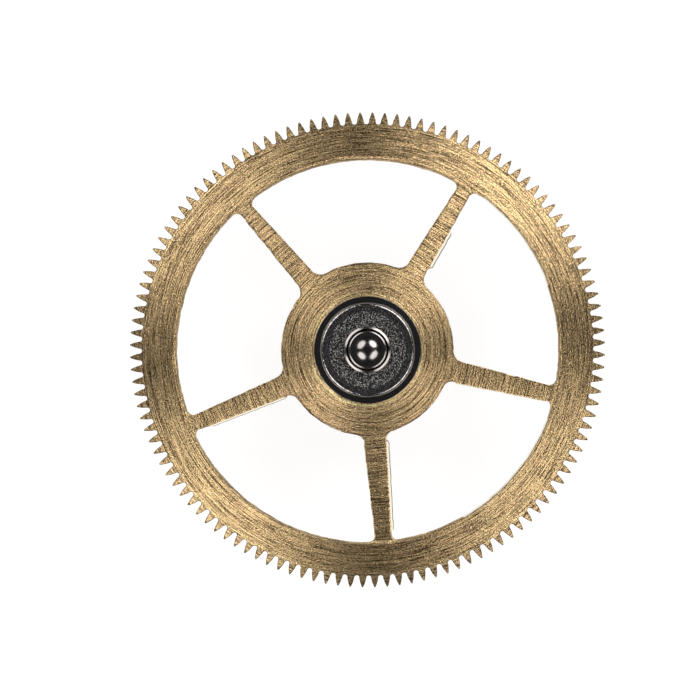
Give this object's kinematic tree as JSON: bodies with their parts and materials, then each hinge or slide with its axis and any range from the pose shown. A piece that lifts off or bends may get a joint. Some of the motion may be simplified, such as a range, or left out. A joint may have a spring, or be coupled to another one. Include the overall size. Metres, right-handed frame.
{
  "type": "watch centre wheel",
  "caption": "Crossed-out brass centre wheel riveted to a hollow leafed steel pinion, friction-tight on a steel staff with two pivots and a long post.",
  "frame": {"origin": "on the axis, at mid-thickness of the brass wheel", "axes": "+Z along the axis towards the domed upper pivot; +X through the middle of one spoke and of the tooth that is in line with it"},
  "size_m": [0.0098, 0.0098, 0.0051],
  "materials": {
    "wheel_brass": "circular grain, unplated",
    "pinion_steel": "hardened, fine turned face, polished edges and leaves",
    "staff_steel": "hardened and burnished"
  },
  "bodies": {
    "staff": {"centre_staff": "staff_steel"},
    "wheel": {"wheel_plate": "wheel_brass", "centre_pinion": "pinion_steel"}
  },
  "joints": [
    {"name": "hand_setting_slip", "type": "hinge", "parent": "staff", "child": "wheel", "pos_m": [0, 0, 0], "axis": [0, 0, 1], "continuous": true}
  ]
}
